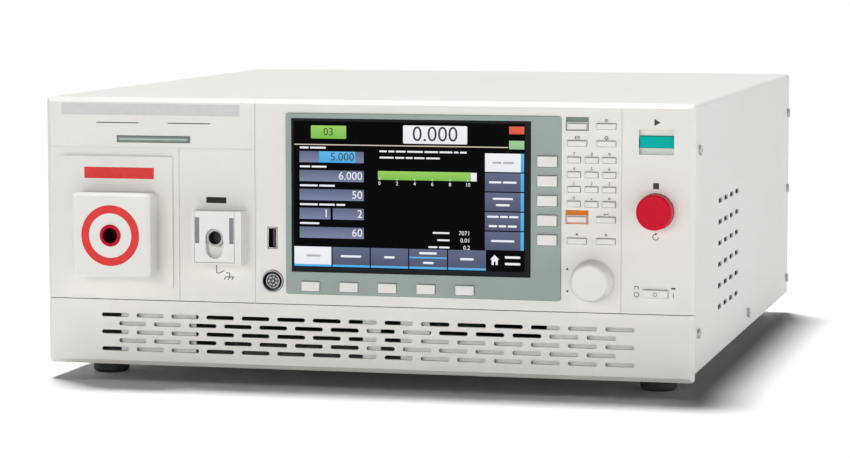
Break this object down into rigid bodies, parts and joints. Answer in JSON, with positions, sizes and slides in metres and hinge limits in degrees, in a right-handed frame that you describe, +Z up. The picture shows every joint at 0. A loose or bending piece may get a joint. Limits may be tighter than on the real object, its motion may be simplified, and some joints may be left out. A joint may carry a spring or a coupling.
{
  "type": "high-voltage withstand tester",
  "caption": "Full-width bench insulation and withstand voltage tester with touch display, keypad, knob, start and stop buttons, shrouded test terminals and an air-inlet grille.",
  "frame": {"origin": "on the floor under the middle of the whole object", "axes": "+Z up, the front faces -Y, +X to the right seen from the front"},
  "size_m": [0.4336, 0.5144, 0.186],
  "materials": {
    "case_paint": "fine satin powder coat, warm light grey",
    "panel_plastic": "satin moulded off-white",
    "terminal_plastic": "semi-gloss white insulator",
    "key_plastic": "fine matt white",
    "bezel_plastic": "satin grey-green",
    "display_glass": "glossy black touch screen",
    "clear_plastic": "clear polycarbonate, frosted at the edges",
    "red_plastic": "semi-gloss red",
    "teal_plastic": "semi-gloss teal",
    "black_plastic": "matt black",
    "lamp_plastic": "smoky diffusing lens",
    "foot_rubber": "matt dark grey",
    "zinc_steel": "bright zinc plate",
    "circuit_board": "green solder mask",
    "core_steel": "varnished laminations",
    "sink_aluminium": "dark anodised extrusion"
  },
  "bodies": {
    "case": {"base_chassis": "zinc_steel", "top_cover": "case_paint", "front_panel": "panel_plastic", "grille_panel": "panel_plastic", "rear_panel": "case_paint", "feet": "foot_rubber", "cover_screws": "zinc_steel", "hv_plate": "panel_plastic", "hv_block": "terminal_plastic", "hv_socket": "red_plastic", "low_block": "panel_plastic", "low_socket": "terminal_plastic", "display_bezel": "bezel_plastic", "display_module": "display_glass", "usb_port": "black_plastic", "remote_connector": "black_plastic", "lamp_lens": "lamp_plastic", "switch_board": "circuit_board", "main_board": "circuit_board", "hv_transformer": "core_steel", "power_amplifier": "sink_aluminium", "fan_housing": "black_plastic", "ac_inlet": "black_plastic", "rear_connectors": "zinc_steel"},
    "low_slider": {"low_slider": "clear_plastic"},
    "fan_rotor": {"fan_rotor": "black_plastic"},
    "knob": {"knob": "key_plastic"},
    "start_button": {"start_button": "teal_plastic"},
    "stop_button": {"stop_button": "red_plastic"},
    "power_button": {"power_button": "key_plastic"},
    "row_key_1": {"row_key_1": "key_plastic"},
    "row_key_2": {"row_key_2": "key_plastic"},
    "row_key_3": {"row_key_3": "key_plastic"},
    "row_key_4": {"row_key_4": "key_plastic"},
    "row_key_5": {"row_key_5": "key_plastic"},
    "side_key_1": {"side_key_1": "key_plastic"},
    "side_key_2": {"side_key_2": "key_plastic"},
    "side_key_3": {"side_key_3": "key_plastic"},
    "side_key_4": {"side_key_4": "key_plastic"},
    "side_key_5": {"side_key_5": "key_plastic"},
    "key_mode_1": {"key_mode_1": "key_plastic"},
    "key_mode_2": {"key_mode_2": "key_plastic"},
    "key_mode_3": {"key_mode_3": "key_plastic"},
    "key_mode_4": {"key_mode_4": "key_plastic"},
    "key_back": {"key_back": "key_plastic"},
    "key_enter": {"key_enter": "key_plastic"},
    "key_left": {"key_left": "key_plastic"},
    "key_right": {"key_right": "key_plastic"},
    "key_7": {"key_7": "key_plastic"},
    "key_8": {"key_8": "key_plastic"},
    "key_9": {"key_9": "key_plastic"},
    "key_4": {"key_4": "key_plastic"},
    "key_5": {"key_5": "key_plastic"},
    "key_6": {"key_6": "key_plastic"},
    "key_1": {"key_1": "key_plastic"},
    "key_2": {"key_2": "key_plastic"},
    "key_3": {"key_3": "key_plastic"},
    "key_0": {"key_0": "key_plastic"},
    "key_point": {"key_point": "key_plastic"},
    "key_clear": {"key_clear": "key_plastic"}
  },
  "joints": [
    {"name": "row_key_1_press", "type": "slide", "parent": "case", "child": "row_key_1", "axis": [0, 1, 0], "range_m": [0, 0.001], "stiffness_N_per_m": 900},
    {"name": "row_key_2_press", "type": "slide", "parent": "case", "child": "row_key_2", "axis": [0, 1, 0], "range_m": [0, 0.001], "stiffness_N_per_m": 900},
    {"name": "row_key_3_press", "type": "slide", "parent": "case", "child": "row_key_3", "axis": [0, 1, 0], "range_m": [0, 0.001], "stiffness_N_per_m": 900},
    {"name": "row_key_4_press", "type": "slide", "parent": "case", "child": "row_key_4", "axis": [0, 1, 0], "range_m": [0, 0.001], "stiffness_N_per_m": 900},
    {"name": "row_key_5_press", "type": "slide", "parent": "case", "child": "row_key_5", "axis": [0, 1, 0], "range_m": [0, 0.001], "stiffness_N_per_m": 900},
    {"name": "side_key_1_press", "type": "slide", "parent": "case", "child": "side_key_1", "axis": [0, 1, 0], "range_m": [0, 0.001], "stiffness_N_per_m": 900},
    {"name": "side_key_2_press", "type": "slide", "parent": "case", "child": "side_key_2", "axis": [0, 1, 0], "range_m": [0, 0.001], "stiffness_N_per_m": 900},
    {"name": "side_key_3_press", "type": "slide", "parent": "case", "child": "side_key_3", "axis": [0, 1, 0], "range_m": [0, 0.001], "stiffness_N_per_m": 900},
    {"name": "side_key_4_press", "type": "slide", "parent": "case", "child": "side_key_4", "axis": [0, 1, 0], "range_m": [0, 0.001], "stiffness_N_per_m": 900},
    {"name": "side_key_5_press", "type": "slide", "parent": "case", "child": "side_key_5", "axis": [0, 1, 0], "range_m": [0, 0.001], "stiffness_N_per_m": 900},
    {"name": "key_mode_1_press", "type": "slide", "parent": "case", "child": "key_mode_1", "axis": [0, 1, 0], "range_m": [0, 0.001], "stiffness_N_per_m": 900},
    {"name": "key_mode_2_press", "type": "slide", "parent": "case", "child": "key_mode_2", "axis": [0, 1, 0], "range_m": [0, 0.001], "stiffness_N_per_m": 900},
    {"name": "key_mode_3_press", "type": "slide", "parent": "case", "child": "key_mode_3", "axis": [0, 1, 0], "range_m": [0, 0.001], "stiffness_N_per_m": 900},
    {"name": "key_mode_4_press", "type": "slide", "parent": "case", "child": "key_mode_4", "axis": [0, 1, 0], "range_m": [0, 0.001], "stiffness_N_per_m": 900},
    {"name": "key_back_press", "type": "slide", "parent": "case", "child": "key_back", "axis": [0, 1, 0], "range_m": [0, 0.001], "stiffness_N_per_m": 900},
    {"name": "key_enter_press", "type": "slide", "parent": "case", "child": "key_enter", "axis": [0, 1, 0], "range_m": [0, 0.001], "stiffness_N_per_m": 900},
    {"name": "key_left_press", "type": "slide", "parent": "case", "child": "key_left", "axis": [0, 1, 0], "range_m": [0, 0.001], "stiffness_N_per_m": 900},
    {"name": "key_right_press", "type": "slide", "parent": "case", "child": "key_right", "axis": [0, 1, 0], "range_m": [0, 0.001], "stiffness_N_per_m": 900},
    {"name": "key_7_press", "type": "slide", "parent": "case", "child": "key_7", "axis": [0, 1, 0], "range_m": [0, 0.001], "stiffness_N_per_m": 900},
    {"name": "key_8_press", "type": "slide", "parent": "case", "child": "key_8", "axis": [0, 1, 0], "range_m": [0, 0.001], "stiffness_N_per_m": 900},
    {"name": "key_9_press", "type": "slide", "parent": "case", "child": "key_9", "axis": [0, 1, 0], "range_m": [0, 0.001], "stiffness_N_per_m": 900},
    {"name": "key_4_press", "type": "slide", "parent": "case", "child": "key_4", "axis": [0, 1, 0], "range_m": [0, 0.001], "stiffness_N_per_m": 900},
    {"name": "key_5_press", "type": "slide", "parent": "case", "child": "key_5", "axis": [0, 1, 0], "range_m": [0, 0.001], "stiffness_N_per_m": 900},
    {"name": "key_6_press", "type": "slide", "parent": "case", "child": "key_6", "axis": [0, 1, 0], "range_m": [0, 0.001], "stiffness_N_per_m": 900},
    {"name": "key_1_press", "type": "slide", "parent": "case", "child": "key_1", "axis": [0, 1, 0], "range_m": [0, 0.001], "stiffness_N_per_m": 900},
    {"name": "key_2_press", "type": "slide", "parent": "case", "child": "key_2", "axis": [0, 1, 0], "range_m": [0, 0.001], "stiffness_N_per_m": 900},
    {"name": "key_3_press", "type": "slide", "parent": "case", "child": "key_3", "axis": [0, 1, 0], "range_m": [0, 0.001], "stiffness_N_per_m": 900},
    {"name": "key_0_press", "type": "slide", "parent": "case", "child": "key_0", "axis": [0, 1, 0], "range_m": [0, 0.001], "stiffness_N_per_m": 900},
    {"name": "key_point_press", "type": "slide", "parent": "case", "child": "key_point", "axis": [0, 1, 0], "range_m": [0, 0.001], "stiffness_N_per_m": 900},
    {"name": "key_clear_press", "type": "slide", "parent": "case", "child": "key_clear", "axis": [0, 1, 0], "range_m": [0, 0.001], "stiffness_N_per_m": 900},
    {"name": "start_button_press", "type": "slide", "parent": "case", "child": "start_button", "axis": [0, 1, 0], "range_m": [0, 0.002], "stiffness_N_per_m": 900},
    {"name": "stop_button_press", "type": "slide", "parent": "case", "child": "stop_button", "axis": [0, 1, 0], "range_m": [0, 0.003], "stiffness_N_per_m": 1200},
    {"name": "power_button_press", "type": "slide", "parent": "case", "child": "power_button", "axis": [0, 1, 0], "range_m": [0, 0.0016], "stiffness_N_per_m": 900},
    {"name": "knob_turn", "type": "hinge", "parent": "case", "child": "knob", "pos_m": [0.15, -0.2368, 0.0738], "axis": [0, -1, 0], "continuous": true},
    {"name": "slider_lift", "type": "slide", "parent": "case", "child": "low_slider", "axis": [0, 0, 1], "range_m": [0, 0.0074]},
    {"name": "fan_spin", "type": "hinge", "parent": "case", "child": "fan_rotor", "pos_m": [0.105, 0.22, 0.1], "axis": [0, 1, 0], "continuous": true}
  ]
}
